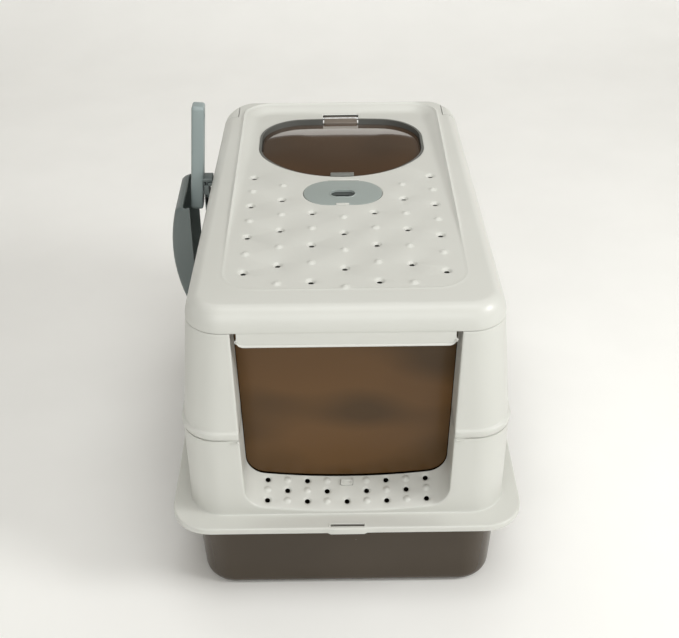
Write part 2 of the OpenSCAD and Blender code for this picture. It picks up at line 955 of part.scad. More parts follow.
module scoop() {
  grip_top = handle_top_z - hanger_top_z - 19;
  color([0.5, 0.55, 0.56])
    union() {
      // Handle down to the blade, with a hang hole near its upper end
      difference() {
        at_handle()
          translate([0, 0, -55])
            linear_extrude(grip_top + 55)
              round_rect(8.2, 11, 4);
        at_handle()
          translate([0, 0, grip_top - 16])
            rotate([0, 90, 0])
              cylinder(r = 4, h = 40, center = true);
      }
      // Cross arm and the peg that drops into the hanger
      box([scoop_x - 4, scoop_y - 10, hanger_top_z + 4.4], [scoop_x + 19, scoop_y + 10, hanger_top_z + 9.5]);
      box([scoop_x + 9.4, scoop_y - 7.4, hanger_low_z + 22],
        [scoop_x + 12.7, scoop_y + 7.4, hanger_top_z + 5]);
      difference() {
        translate([0, scoop_y + 52, 0])
          rotate([90, 0, 0])
            linear_extrude(104)
              blade_profile(0);
        translate([0, scoop_y + 52 - wall, 0])
          rotate([90, 0, 0])
            linear_extrude(104 - 2 * wall)
              blade_profile(wall);
        box([scoop_x - 9, scoop_y - 60, blade_low_z - 1], [scoop_x + 9, scoop_y + 60, blade_top_z + 1]);
        for (i = [-3:3])
          translate([scoop_x - blade_bulge / 2, scoop_y + 13 * i, blade_low_z + 45])
            rotate([0, 90, 0])
              linear_extrude(60, center = true)
                round_rect(22, 3, 2.9);
      }
    }
}

litter_pan();
lower_frame();
upper_frame();
hinge_ear_left();
hinge_ear_right();
lid_hinge_pins();
top_cover();
window_ring();
window_dome();
window_hinge_block();
window_hinge_pin();
window_catch();
latch_plate();
latch_button();
latch_bolt();
latch_spring();
latch_housing();
housing_screws();
front_door();
door_bracket_left();
door_bracket_right();
door_hinge_pins();
door_lock();
lock_guide();
scoop();
scoop_hanger();
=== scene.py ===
import bpy
import bmesh
import json
import math
from mathutils import Matrix, Vector
from mathutils.geometry import delaunay_2d_cdt


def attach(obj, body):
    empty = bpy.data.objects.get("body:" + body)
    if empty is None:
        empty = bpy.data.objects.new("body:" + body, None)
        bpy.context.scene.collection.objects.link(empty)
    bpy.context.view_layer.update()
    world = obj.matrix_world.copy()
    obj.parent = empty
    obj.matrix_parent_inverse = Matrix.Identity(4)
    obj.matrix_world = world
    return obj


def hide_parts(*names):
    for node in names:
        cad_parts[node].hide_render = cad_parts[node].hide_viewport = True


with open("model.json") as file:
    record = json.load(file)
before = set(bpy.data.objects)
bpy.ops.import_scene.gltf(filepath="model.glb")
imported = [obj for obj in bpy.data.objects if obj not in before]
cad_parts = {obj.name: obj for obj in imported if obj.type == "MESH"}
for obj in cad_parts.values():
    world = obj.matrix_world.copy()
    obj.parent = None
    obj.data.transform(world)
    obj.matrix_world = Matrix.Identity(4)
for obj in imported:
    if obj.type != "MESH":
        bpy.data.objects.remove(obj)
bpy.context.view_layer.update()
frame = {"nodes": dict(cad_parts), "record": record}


# ---------------------------------------------------------------- materials

def new_material(name):
    m = bpy.data.materials.new(name)
    m.use_nodes = True
    t = m.node_tree
    return m, t.nodes["Principled BSDF"], t.nodes, t.links


def noise(nodes, links, scale, detail, coords):
    """Noise texture in the piece's own coordinates."""
    n = nodes.new("ShaderNodeTexNoise")
    n.inputs["Scale"].default_value = scale
    n.inputs["Detail"].default_value = detail
    links.new(coords.outputs["Object"], n.inputs["Vector"])
    return n


def ramp(nodes, links, source, low, high, a=0.35, b=0.65):
    """Colour ramp from low at a to high at b."""
    r = nodes.new("ShaderNodeValToRGB")
    r.color_ramp.elements[0].position = a
    r.color_ramp.elements[1].position = b
    r.color_ramp.elements[0].color = (*low, 1)
    r.color_ramp.elements[1].color = (*high, 1)
    links.new(source, r.inputs["Fac"])
    return r


def moulded(name, low, high, rough=0.4, grain=0.04, coat=0.0, spec=0.5):
    """Injection-moulded plastic: slow tone drift, faint surface grain."""
    m, b, nodes, links = new_material(name)
    c = nodes.new("ShaderNodeTexCoord")
    tone = ramp(nodes, links, noise(nodes, links, 6.0, 3.0, c).outputs["Fac"], low, high)
    links.new(tone.outputs["Color"], b.inputs["Base Color"])
    wear = noise(nodes, links, 22.0, 4.0, c)
    rough_map = nodes.new("ShaderNodeMapRange")
    rough_map.inputs["To Min"].default_value = rough - 0.05
    rough_map.inputs["To Max"].default_value = rough + 0.07
    links.new(wear.outputs["Fac"], rough_map.inputs["Value"])
    links.new(rough_map.outputs["Result"], b.inputs["Roughness"])
    fine = noise(nodes, links, 1400.0, 2.0, c)
    bump = nodes.new("ShaderNodeBump")
    bump.inputs["Strength"].default_value = grain
    bump.inputs["Distance"].default_value = 0.0002
    links.new(fine.outputs["Fac"], bump.inputs["Height"])
    links.new(bump.outputs["Normal"], b.inputs["Normal"])
    b.inputs["Coat Weight"].default_value = coat
    b.inputs["Coat Roughness"].default_value = 0.12
    b.inputs["Specular IOR Level"].default_value = spec
    return m


def smoked(name, low, high, through, rough, spec, coat):
    """Tinted clear plastic: a brown film with soft blotches of painted light and shade for the lit inside
    that lies behind it.
    """
    m, b, nodes, links = new_material(name)
    c = nodes.new("ShaderNodeTexCoord")
    stretch = nodes.new("ShaderNodeMapping")
    stretch.inputs["Scale"].default_value = (1.0, 1.0, 2.2)
    stretch.inputs["Location"].default_value = (0.15, 0.0, 0.31)
    links.new(c.outputs["Object"], stretch.inputs["Vector"])
    # Stretched noise: painted light and shade of the inside seen through the film.
    painted_light_blotch = nodes.new("ShaderNodeTexNoise")
    painted_light_blotch.inputs["Scale"].default_value = 7.0
    painted_light_blotch.inputs["Detail"].default_value = 0.6
    links.new(stretch.outputs["Vector"], painted_light_blotch.inputs["Vector"])
    tone = ramp(nodes, links, painted_light_blotch.outputs["Fac"], low, high, 0.38, 0.62)
    links.new(tone.outputs["Color"], b.inputs["Base Color"])
    b.inputs["Roughness"].default_value = rough
    b.inputs["Transmission Weight"].default_value = through
    b.inputs["IOR"].default_value = 1.49
    b.inputs["Specular IOR Level"].default_value = spec
    b.inputs["Coat Weight"].default_value = coat
    b.inputs["Coat Roughness"].default_value = 0.03
    return m


def metal(name):
    m, b, nodes, links = new_material(name)
    c = nodes.new("ShaderNodeTexCoord")
    tone = ramp(nodes, links, noise(nodes, links, 300.0, 2.0, c).outputs["Fac"],
                (0.45, 0.45, 0.45), (0.62, 0.62, 0.61))
    links.new(tone.outputs["Color"], b.inputs["Base Color"])
    b.inputs["Metallic"].default_value = 1.0
    b.inputs["Roughness"].default_value = 0.32
    return m


def make_materials():
    return {
        "shell_plastic": moulded("shell", (0.600, 0.605, 0.565), (0.620, 0.625, 0.585), 0.34, 0.04),
        "pan_plastic": moulded("pan", (0.050, 0.036, 0.022), (0.060, 0.044, 0.028), 0.24, 0.03, 0.1, 0.35),
        "grey_plastic": moulded("grey", (0.285, 0.325, 0.310), (0.31, 0.35, 0.335), 0.36, 0.05),
        # The scoop's plastic in the darker tone it shows in shade (painted shade); the next tone is the same
        # plastic made lighter, painted light where the top light falls on the handle.
        "scoop_plastic": moulded("scoop", (0.125, 0.150, 0.148), (0.145, 0.172, 0.168), 0.34, 0.05),
        "painted_light_scoop_tone": moulded("handle", (0.27, 0.325, 0.325), (0.30, 0.355, 0.355), 0.34, 0.05),
        "smoked_clear": smoked("smoked", (0.078, 0.040, 0.010), (0.150, 0.072, 0.019), 0.25, 0.3, 0.25, 0.08),
        "dome_tone": smoked("dome", (0.055, 0.027, 0.010), (0.095, 0.045, 0.016), 0.25, 0.07, 0.6, 0.8),
        # Dark grey for the window ring: painted shade of the shaded wall round the window's opening.
        "window_ring_painted_shade": moulded("ring", (0.105, 0.108, 0.100), (0.125, 0.128, 0.118), 0.4, 0.04),
        # Near-black tone for the latch's grey slider: painted shade of the recess it sits in.
        "latch_recess_painted_shade": moulded("slider", (0.050, 0.058, 0.056), (0.062, 0.070, 0.068), 0.45, 0.04),
        "catch_tone": moulded("catch", (0.16, 0.165, 0.150), (0.18, 0.185, 0.17), 0.36, 0.04),
        "leaf_tone": moulded("leaf", (0.17, 0.145, 0.12), (0.19, 0.16, 0.13), 0.34, 0.04),
        "pin_steel": metal("steel"),
        "floor": moulded("floor", (0.93, 0.93, 0.905), (0.95, 0.95, 0.925), 0.7, 0.02),
    }


materials = make_materials()


def paint(obj, name):
    obj.data.materials.clear()
    obj.data.materials.append(materials[name])


# The window ring's dark grey is painted shade.
TONES = {"window_ring": "window_ring_painted_shade"}      # CAD nodes whose tone differs from their slot's


def paint_cad():
    """Gives every CAD node its material; the replaced ones are hidden later."""
    for part in frame["record"]["subparts"]:
        node = part["node"]
        paint(frame["nodes"][node], TONES.get(node, part["material_slot"]))


paint_cad()


# ---------------------------------------------------------------- stage

def backdrop():
    """Pale floor that rises into a wall behind the box."""
    bm = bmesh.new()
    rows = [(-4.0, 0.0), (1.4, 0.0)]
    for i in range(1, 13):
        a = math.pi / 2 * i / 12
        rows.append((1.4 + 0.9 * math.sin(a), 0.9 - 0.9 * math.cos(a)))
    rows.append((2.3, 1.0))
    grid = [[bm.verts.new((x, y, z)) for x in (-5.0, 5.0)] for y, z in rows]
    for a, b in zip(grid, grid[1:]):
        bm.faces.new((a[0], a[1], b[1], b[0]))
    me = bpy.data.meshes.new("backdrop")
    bm.to_mesh(me)
    bm.free()
    me.shade_smooth()
    obj = bpy.data.objects.new("backdrop", me)
    bpy.context.scene.collection.objects.link(obj)
    obj.data.materials.append(materials["floor"])


def area_light(name, at, look, size, power, colour):
    data = bpy.data.lights.new(name, "AREA")
    data.shape = "RECTANGLE"
    data.size, data.size_y = size
    data.energy = power
    data.color = colour
    obj = bpy.data.objects.new(name, data)
    obj.location = at
    obj.rotation_euler = (Vector(look) - Vector(at)).to_track_quat("-Z", "Y").to_euler()
    bpy.context.scene.collection.objects.link(obj)


COOL = (0.99, 1.0, 0.995)


def lights():
    area_light("key", (2.2, -0.9, 1.7), (0, 0, 0.2), (0.8, 0.7), 34, (1.0, 1.0, 0.99))
    area_light("front", (-0.2, -2.6, 1.5), (0, 0, 0.2), (2.2, 1.4), 24, COOL)
    area_light("top", (0.2, -0.8, 2.8), (0, -0.1, 0.2), (1.8, 1.6), 26, COOL)
    area_light("wash", (0.0, 0.9, 2.5), (-0.3, 2.4, 0.1), (2.4, 1.0), 19, COOL)
    sky()


def sky():
    """Room light: bright near the horizon, a darker warm ceiling above."""
    world = bpy.data.worlds.new("studio")
    bpy.context.scene.world = world
    world.use_nodes = True
    nodes, links = world.node_tree.nodes, world.node_tree.links
    coords = nodes.new("ShaderNodeTexCoord")
    split = nodes.new("ShaderNodeSeparateXYZ")
    links.new(coords.outputs["Generated"], split.inputs["Vector"])
    r = nodes.new("ShaderNodeValToRGB")
    r.color_ramp.elements[0].position = 0.25
    r.color_ramp.elements[1].position = 0.32
    r.color_ramp.elements[0].color = (1.0, 1.0, 0.985, 1)
    r.color_ramp.elements[1].color = (0.36, 0.32, 0.27, 1)
    links.new(split.outputs["Z"], r.inputs["Fac"])
    back = nodes["Background"]
    links.new(r.outputs["Color"], back.inputs["Color"])
    back.inputs["Strength"].default_value = 0.55


def camera():
    """Camera at the height, tilt and distance of the photograph."""
    data = bpy.data.cameras.new("camera")
    data.sensor_width = 36.0
    data.sensor_fit = "HORIZONTAL"
    data.lens = 60.97
    data.clip_start = 0.05
    obj = bpy.data.objects.new("camera", data)
    pitch, yaw, roll = (math.radians(a) for a in (33.425, 0.34, -0.5))
    turn = Matrix.Rotation(-yaw, 4, "Z") @ Matrix.Rotation(math.pi / 2 - pitch, 4, "X")
    turn = turn @ Matrix.Rotation(roll, 4, "Z")
    obj.matrix_world = Matrix.Translation((-0.0130, -1.27856, 1.05526)) @ turn
    bpy.context.scene.collection.objects.link(obj)
    bpy.context.scene.camera = obj


# ---------------------------------------------------------------- mesh helpers, in millimetres

MM = 0.001
WALL = 2.5


def smooth(a, b, x):
    """0 below a, 1 above b, and a soft step between them."""
    t = min(max((x - a) / (b - a), 0.0), 1.0)
    return t * t * (3 - 2 * t)


def lerp(a, b, t):
    return a + (b - a) * t


def spread(a, b, n):
    """n + 1 even steps from a to b, both ends in."""
    return [a + (b - a) * i / n for i in range(n + 1)]


def arc(cx, cy, rx, ry, a0, a1, n):
    """n + 1 points on an elliptical arc, angles in degrees."""
    angles = [math.radians(a) for a in spread(a0, a1, n)]
    return [(cx + rx * math.cos(a), cy + ry * math.sin(a)) for a in angles]


def mirrored(half):
    """Closed loop from its right half, which starts and ends on the middle plane."""
    return half + [(-p[0], *p[1:]) for p in reversed(half[1:-1])]


def add_strip(bm, low, high, closed=True):
    """Quads between two rows of vertices."""
    n = len(low)
    for i in range(n if closed else n - 1):
        j = (i + 1) % n
        quad = []
        for v in (low[i], low[j], high[j], high[i]):
            if v not in quad:
                quad.append(v)
        if len(quad) > 2:
            bm.faces.new(quad)


def add_row(bm, points):
    return [bm.verts.new(p) for p in points]


def add_rings(bm, rings, closed=True, caps=False):
    rows = [add_row(bm, ring) for ring in rings]
    for low, high in zip(rows, rows[1:]):
        add_strip(bm, low, high, closed)
    if caps:
        bm.faces.new(list(reversed(rows[0])))
        bm.faces.new(rows[-1])
    return rows


def fill_flat(bm, loops, extra, inside, lift):
    """Triangles over the plan region where inside(x, y) is true; every loop is kept as edges."""
    points, edges = [], []
    for loop in loops:
        first = len(points)
        points += [Vector(p) for p in loop]
        edges += [(first + i, first + (i + 1) % len(loop)) for i in range(len(loop))]
    points += [Vector(p) for p in extra]
    out, _, tris, *_ = delaunay_2d_cdt(points, edges, [], 0, 1e-5)
    verts = {}
    for tri in tris:
        c = sum((out[i] for i in tri), Vector((0, 0))) / 3
        if not inside(c.x, c.y):
            continue
        for i in tri:
            if i not in verts:
                verts[i] = bm.verts.new(lift(out[i].x, out[i].y))
        bm.faces.new([verts[i] for i in tri])


def thicken(bm, t):
    """Gives an open skin its wall thickness, on the side away from its normals."""
    bm.normal_update()
    faces = bm.faces[:]
    rim = [e for e in bm.edges if e.is_boundary]
    inner = {v: bm.verts.new(v.co - v.normal * t) for v in bm.verts[:]}
    for f in faces:
        bm.faces.new([inner[v] for v in reversed(f.verts)])
    for e in rim:
        a, b = e.verts
        bm.faces.new((a, b, inner[b], inner[a]))


def drop_faces(bm, test):
    """Deletes the faces whose middle passes the test."""
    gone = [f for f in bm.faces if test(f.calc_center_median())]
    bmesh.ops.delete(bm, geom=gone, context="FACES")


def turn_towards(bm, direction):
    """Settles the normals of an open skin, with its larger part facing a direction."""
    bmesh.ops.recalc_face_normals(bm, faces=bm.faces[:])
    if sum(f.normal.dot(Vector(direction)) * f.calc_area() for f in bm.faces) < 0:
        bmesh.ops.reverse_faces(bm, faces=bm.faces[:])


def cut_plane(bm, point, normal, faces=None):
    """Cuts all faces, or only some, along a plane."""
    if faces is None:
        geom = bm.verts[:] + bm.edges[:] + bm.faces[:]
    else:
        edges = list(dict.fromkeys(e for f in faces for e in f.edges))
        geom = list(dict.fromkeys(v for f in faces for v in f.verts)) + edges + faces
    bmesh.ops.bisect_plane(bm, geom=geom, dist=1e-4, plane_co=point, plane_no=normal)


def finish_piece(bm, name, finish, body, hides=(), sharp=34, tone=None):
    """Turns the mesh into a piece that rides on a body and stands in for the CAD nodes it hides."""
    bmesh.ops.recalc_face_normals(bm, faces=bm.faces[:])
    bmesh.ops.scale(bm, vec=(MM, MM, MM), verts=bm.verts[:])
    me = bpy.data.meshes.new(name)
    bm.to_mesh(me)
    bm.free()
    me.shade_smooth()
    me.set_sharp_from_angle(angle=math.radians(sharp))
    obj = bpy.data.objects.new(name, me)
    bpy.context.scene.collection.objects.link(obj)
    paint(obj, tone or finish)
    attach(obj, body)
    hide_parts(*hides)
    return obj


# Corner numbers of a box's six faces
CUBE = ((0, 1, 3, 2), (4, 6, 7, 5), (0, 4, 5, 1), (2, 3, 7, 6), (0, 2, 6, 4), (1, 5, 7, 3))


def same_place(u, v, h):
    return u, v, h


def block(bm, low, high, r=0.6, put=same_place):
    """Box with rounded edges."""
    corners = [put(x, y, z) for x in (low[0], high[0]) for y in (low[1], high[1]) for z in (low[2], high[2])]
    verts = add_row(bm, corners)
    faces = [bm.faces.new([verts[i] for i in quad]) for quad in CUBE]
    edges = list({e for f in faces for e in f.edges})
    bmesh.ops.bevel(bm, geom=edges, offset=r, segments=3, profile=0.5, affect="EDGES", clamp_overlap=True)


def soft_plate(bm, shape, low, high, r, put=same_place, steps=4):
    """Solid between two heights over the plan shape(inset), with its two rims rounded."""
    turn = [math.pi / 2 * i / steps for i in range(steps + 1)]
    profile = [(r * (1 - math.sin(a)), low + r * (1 - math.cos(a))) for a in turn]
    profile += [(r * (1 - math.cos(a)), high - r * (1 - math.sin(a))) for a in turn]
    add_rings(bm, [[put(u, v, h) for u, v in shape(q)] for q, h in profile], caps=True)


def rod(bm, x0, x1, y, z, r, soft=0.6):
    """Round bar along X."""
    rings = []
    for x, q in ((x0, soft), (x0 + soft * 0.3, soft * 0.3), (x0 + soft, 0), (x1 - soft, 0),
                 (x1 - soft * 0.3, soft * 0.3), (x1, soft)):
        rings.append([(x, y + b, z + c) for b, c in arc(0, 0, r - q, r - q, 0, 345, 23)])
    add_rings(bm, rings, caps=True)


def hollow_plate(bm, rings):
    """Closed tube of rings that have the same number of points: a plate with a hole."""
    rows = add_rings(bm, rings)
    add_strip(bm, rows[-1], rows[0])


# ---------------------------------------------------------------- lid

COVER_R = 42.0
COVER_HL = 272.0
COVER_BACK = 284.0
DISH_TAN = 0.0227
RIDGE = (135.5, 23.0, 253.0, 38.0)     # half width, middle y, half length, corner radius
LATCH_OPENING = (49.3, -0.5, 33.3, 33.25)
EAR_X, EAR_Y = 144.0, 233.0
NOTCH_YS = (86.5, 113.5)               # ends of the notches for the scoop's hanger
EDGE_IN, EDGE_IN_BACK = 17.7, 3.2      # width of the rounded edge, and along the back
FRONT_XS = [0, 12, 24, 36, 48, 60, 72, 84, 96, 105, 111, 114.5, 116.5, 117, 132.5]


def cover_hw(y):
    """Half width of the cover at its seam."""
    return lerp(174.5, 165.7, min(max((y + 230) / 472, 0), 1))


def cover_outline(q, q_back):
    """Plan outline of the cover, moved in by q, and by q_back along the back."""
    r = COVER_R
    half = [(x, -COVER_HL + q) for x in FRONT_XS]
    half += arc(132.5, -230, r - q, r - q, -90, 0, 14)[1:]
    half += [(cover_hw(y) - q, y) for y in spread(-230, 242, 42)[1:]]
    half += arc(123.7, 242, r - q, r - q_back, 0, 90, 14)[1:]
    half += [(x, COVER_BACK - q_back) for x in spread(123.7, 0, 10)[1:]]
    return mirrored(half)


def cover_inset(x, y):
    """How far a point lies inside the cover's seam outline."""
    ax = abs(x) - cover_hw(y) + COVER_R
    ay = y - 242 if y > 0 else -230 - y
    if ax > 0 and ay > 0:
        return COVER_R - math.hypot(ax, ay)
    return COVER_R - max(ax, ay)


def rect_distance(x, y, hx, cy, hy, r):
    """Signed distance to a rounded rectangle, negative inside."""
    ax, ay = abs(x) - hx + r, abs(y - cy) - hy + r
    return math.hypot(max(ax, 0), max(ay, 0)) + min(max(ax, ay), 0) - r


def rect_loop(hx, cy, hy, r, step, arcs=10):
    """Rounded rectangle in plan, with points about every step along its sides."""
    nx, ny = max(1, round((hx - r) / step)), max(1, round(2 * (hy - r) / step))
    half = [(x, cy - hy) for x in spread(0, hx - r, nx)]
    half += arc(hx - r, cy - hy + r, r, r, -90, 0, arcs)[1:]
    half += [(hx, y) for y in spread(cy - hy + r, cy + hy - r, ny)[1:]]
    half += arc(hx - r, cy + hy - r, r, r, 0, 90, arcs)[1:]
    half += [(x, cy + hy) for x in spread(hx - r, 0, nx)[1:]]
    return mirrored(half)


def floor_z(y):
    return 402 - DISH_TAN * max(0.0, y + 110)


def cover_z(x, y):
    """Height of the cover's top: outer band, ridge bead and the dish inside it."""
    outer = 401 + smooth(EDGE_IN, 34, cover_inset(x, y))
    d = rect_distance(x, y, *RIDGE)
    wide = 4 + 2.2 * (402 - floor_z(y))
    side = smooth(-wide, 0.3, d)
    bead = 0.4 + 1.5 * smooth(-170, -60, y)
    return lerp(floor_z(y), outer, side) + bead * math.exp(-(d / 1.8) ** 2)


def perforations():
    """(x, y, hole) of every perforation or bump on the cover."""
    for col in range(-3, 4):
        start, count, odd = ((-66, 5, 0), (-54, 5, 1), (22, 7, 0), (46, 7, 1))[abs(col)]
        for i in range(count):
            yield col * 37.4, start - 40 * i, (i + odd) % 2 == 1


def perforation_drop(r, hole):
    """Depth of a countersink, or minus the height of a bump, at radius r."""
    if hole:
        return 3.0 * (1 - smooth(2.4, 6.6, r))
    return -2.4 * (1 - smooth(0.4, 6.2, r)) ** 0.9


def oval_half(a, b, r, n_end, n_side):
    """Right half of an oval of four arcs, from its front to its back."""
    e = a - r
    big = (e * e + b * b - r * r) / (2 * (b - r))
    turn = math.degrees(math.atan2(big - b, e))
    half = arc(0, big - b, big, big, -90, -turn, n_side)
    half += arc(e, 0, r, r, -turn, turn, n_end)[1:]
    half += arc(0, b - big, big, big, turn, 90, n_side)[1:]
    return half


WINDOW_Y = 140.3


def window_half(g):
    """Right half of the window's opening grown by g: oval in front, fuller at the back."""
    half = oval_half(110.4 + g, 93.3 + g, 72 + g, 26, 12)[:26]
    half += [(110.4 + g, y) for y in spread(0, 31.6, 3)[1:]]
    half += arc(50.4, 31.6, 60 + g, 60 + g, 0, 86.56, 16)[1:]
    half += arc(0, -806.7, 900 + g, 900 + g, 86.56, 90, 5)[1:]
    return [(x, y + WINDOW_Y) for x, y in half]


def window_loop(g, notch=True):
    """Closed outline of the opening, with the notch for its hinge at the back."""
    half = window_half(g)
    if not notch:
        return mirrored(half)
    nx = 24.9 + g
    body = [p for p in half if p[0] > nx + 1 or p[1] < WINDOW_Y]
    r = 2 + g
    body += [(nx, y) for y in spread(WINDOW_Y + 93.1 + g, 255 + g - r, 4)]
    body += arc(nx - r, 255 + g - r, r, r, 0, 90, 5)[1:]
    body += [(0, 255 + g)]
    return mirrored(body)


def in_loop(loop, x, y):
    found = False
    for (x0, y0), (x1, y1) in zip(loop, loop[1:] + loop[:1]):
        if (y0 > y) != (y1 > y) and x < (x1 - x0) * (y - y0) / (y1 - y0) + x0:
            found = not found
    return found


def cover_top(bm):
    """Everything above the cover's rounded edge."""
    edge = cover_outline(EDGE_IN, EDGE_IN_BACK)
    loops = [edge]
    for d in (-24, -19, -14.5, -11, -8, -5.5, -4, -3.2, -2.4, -1.6, -0.8, 0, 0.8, 1.6, 2.6, 4.2):
        hx, cy, hy, r = RIDGE
        loops.append(rect_loop(hx + d, cy, hy + d, r + d, 11))
    holes, bumps = [], []
    for x, y, hole in perforations():
        for r in ((3.0, 3.5, 4.2, 5.0, 5.8, 6.6) if hole else (1.2, 2.4, 3.6, 4.6, 5.5, 6.2)):
            loops.append(arc(x, y, r, r, 0, 345, 23))
        (holes if hole else bumps).append((x, y))
    hx, cy, hy, r = LATCH_OPENING
    latch = rect_loop(hx, cy, hy, r, 16, 16)
    opening = window_loop(0)
    rounding = (0.25, 0.7, 1.4, 2.2, 4.0)
    loops += [rect_loop(hx + g, cy, hy + g, r + g, 16, 16) for g in rounding[:4]]
    loops += [latch, opening] + [window_loop(g) for g in rounding]
    window_distance = nearest(opening)

    def inside(x, y):
        if any(math.hypot(x - a, y - b) < 3.0 for a, b in holes):
            return False
        return in_loop(edge, x, y) and not in_loop(latch, x, y) and not in_loop(opening, x, y)

    def lift(x, y):
        z = cover_z(x, y)
        for group, hole in ((holes, True), (bumps, False)):
            for a, b in group:
                r = math.hypot(x - a, y - b)
                if r < 6.7:
                    return x, y, z - perforation_drop(r, hole)
        z -= edge_drop(rect_distance(x, y, *LATCH_OPENING), 1.4)
        if abs(x) < 118 and 40 < y < 262:
            z -= edge_drop(window_distance(x, y), 1.4)
        return x, y, z

    fill_flat(bm, loops, bumps, inside, lift)


def edge_drop(d, r):
    """Fall of a rounded edge of radius r at distance d from the wall it turns into."""
    d = min(max(d, 0), r)
    return r - math.sqrt(max(r * r - (r - d) ** 2, 0))


def nearest(loop):
    """Function giving the distance from a point to a closed loop."""
    pairs = list(zip(loop, loop[1:] + loop[:1]))

    def distance(x, y):
        best = 1e9
        for (x0, y0), (x1, y1) in pairs:
            dx, dy = x1 - x0, y1 - y0
            t = ((x - x0) * dx + (y - y0) * dy) / max(dx * dx + dy * dy, 1e-9)
            t = min(max(t, 0), 1)
            best = min(best, math.hypot(x - x0 - t * dx, y - y0 - t * dy))
        return best

    return distance


def cover_side_rings():
    """The skirt and the rounded edge, from the seam upwards."""
    rings = [(0.7, 373.1), (0.2, 373.4), (0.0, 374.1), (0.0, 376.0)]
    for i in range(1, 17):
        a = math.pi / 2 * i / 16
        rings.append((EDGE_IN * (1 - math.cos(a)), 376 + 25 * math.sin(a)))
    out = []
    for q, z in rings:
        out.append([(x, y, z) for x, y in cover_outline(q, q * EDGE_IN_BACK / EDGE_IN)])
    return out


def apron(bm, seam_row):
    """Flap of the cover's front that hangs over the top of the entrance."""
    picked = [v for v in seam_row if v.co.y < -COVER_HL + 1.5 and abs(v.co.x) <= 117.01]
    picked.sort(key=lambda v: v.co.x)
    rows = [picked]
    for z, y in ((371.0, -271.7), (368.0, -271.9), (364.0, -272.0), (360.5, -272.0), (358.4, -272.1),
                 (357.8, -272.9), (356.8, -273.3), (355.9, -273.0), (355.5, -272.2)):
        row = []
        for v in picked:
            corner = max(0.0, abs(v.co.x) - 110)
            lift = 7 - math.sqrt(max(49 - corner * corner, 0))
            row.append(bm.verts.new((v.co.x, y, max(z, min(372.8, z + lift * (373 - z) / 17.5)))))
        rows.append(row)
    for low, high in zip(rows, rows[1:]):
        add_strip(bm, high, low, closed=False)


def cover_skin():
    """Outer skin of the whole cover, rear corners included."""
    bm = bmesh.new()
    rows = add_rings(bm, cover_side_rings())
    apron(bm, rows[0])
    cover_top(bm)
    bmesh.ops.remove_doubles(bm, verts=bm.verts[:], dist=0.004)
    turn_towards(bm, (0, 0, 1))
    return bm


def split_corners(bm, keep_corner, gap):
    """Leaves the cover's rear corners, or everything else."""
    x0, y0 = EAR_X + gap, EAR_Y + gap
    for s in (-1, 1):
        cut_plane(bm, (s * x0, 0, 0), (1, 0, 0))
    cut_plane(bm, (0, y0, 0), (0, 1, 0))
    drop_faces(bm, lambda c: (abs(c.x) > x0 and c.y > y0) != keep_corner)


def cover():
    bm = cover_skin()
    split_corners(bm, False, -0.7)
    near, far = NOTCH_YS
    for y in NOTCH_YS:
        cut_plane(bm, (0, y, 0), (0, 1, 0), [f for f in bm.faces if f.calc_center_median().z < 392])
    cut_plane(bm, (0, 0, 382), (0, 0, 1))
    drop_faces(bm, lambda c: abs(c.x) > 158 and near < c.y < far and c.z < 382)
    thicken(bm, WALL)
    finish_piece(bm, "cover_skin", "shell_plastic", "lid", ["top_cover"])


def hinge_ears():
    bm = cover_skin()
    split_corners(bm, True, 0.3)
    thicken(bm, WALL)
    finish_piece(bm, "ear_skins", "shell_plastic", "hood", ["hinge_ear_left", "hinge_ear_right"])


cover()
hinge_ears()


# ---------------------------------------------------------------- hood frames

TILT = math.radians(20)
MOUTH_Y, MOUTH_Z = -281.0, 128.5
TUNNEL_BACK = -238.0
BOW_R = 808.4
BOW_END = 96.503
BASE_Z = 125.2


def lower_size(z):
    """Half width of the lower walls at a height, and their reach to the front and to the back."""
    t = (z - 121.5) / 112
    step = 2.2 * smooth(233.1, 233.9, z)
    return lerp(185.5, 186.3, t) - step, lerp(281, 280.3, t) - step, lerp(288, 288.4, t) - step


def upper_size(z):
    """Half width at the front and at the back, and the reach to front and back, at a height."""
    t = (z - 235) / 137.7
    return lerp(186.0, 174.5, t), lerp(186.0, 165.7, t), lerp(278.5, 272, t), lerp(287.5, 284, t)


def mouth_hw(y, z):
    """Half width of the entrance above its lower corners."""
    up = (z - MOUTH_Z) * math.cos(TILT) - (y - MOUTH_Y) * math.sin(TILT)
    return 118.5 + (up - 30.6) * 7.0 / 259.4


def half_walls(hwf, hwb, fore, rear, r, arcs=12, sides=20, backs=8):
    """Right half of the walls in plan, from the front corner to the middle of the back."""
    half = arc(hwf - r, r - fore, r, r, -90, 0, arcs)
    front, back = r - fore, rear - r
    half += [(lerp(hwf, hwb, i / sides), y) for i, y in enumerate(spread(front, back, sides))][1:]
    half += arc(hwb - r, back, r, r, 0, 90, arcs)[1:]
    half += [(x, rear) for x in spread(hwb - r, 0, backs)[1:]]
    return half


def upper_row(z, hwf, hwb, fore, rear, r, fillet=2.0):
    """One height of the upper frame: right reveal, front post, side and half of the back."""
    w = mouth_hw(-fore, z)
    row = [(mouth_hw(y, z), y) for y in spread(TUNNEL_BACK, fillet - fore, 5)]
    row += arc(w + fillet, fillet - fore, fillet, fillet, 180, 270, 5)[1:]
    row += [(x, -fore) for x in spread(w + fillet, hwf - r, 4)[1:-1]]
    row += half_walls(hwf, hwb, fore, rear, r)
    return [(x, y, z) for x, y in row]


def both_sides(row):
    return row + [(-x, y, z) for x, y, z in reversed(row[:-1])]


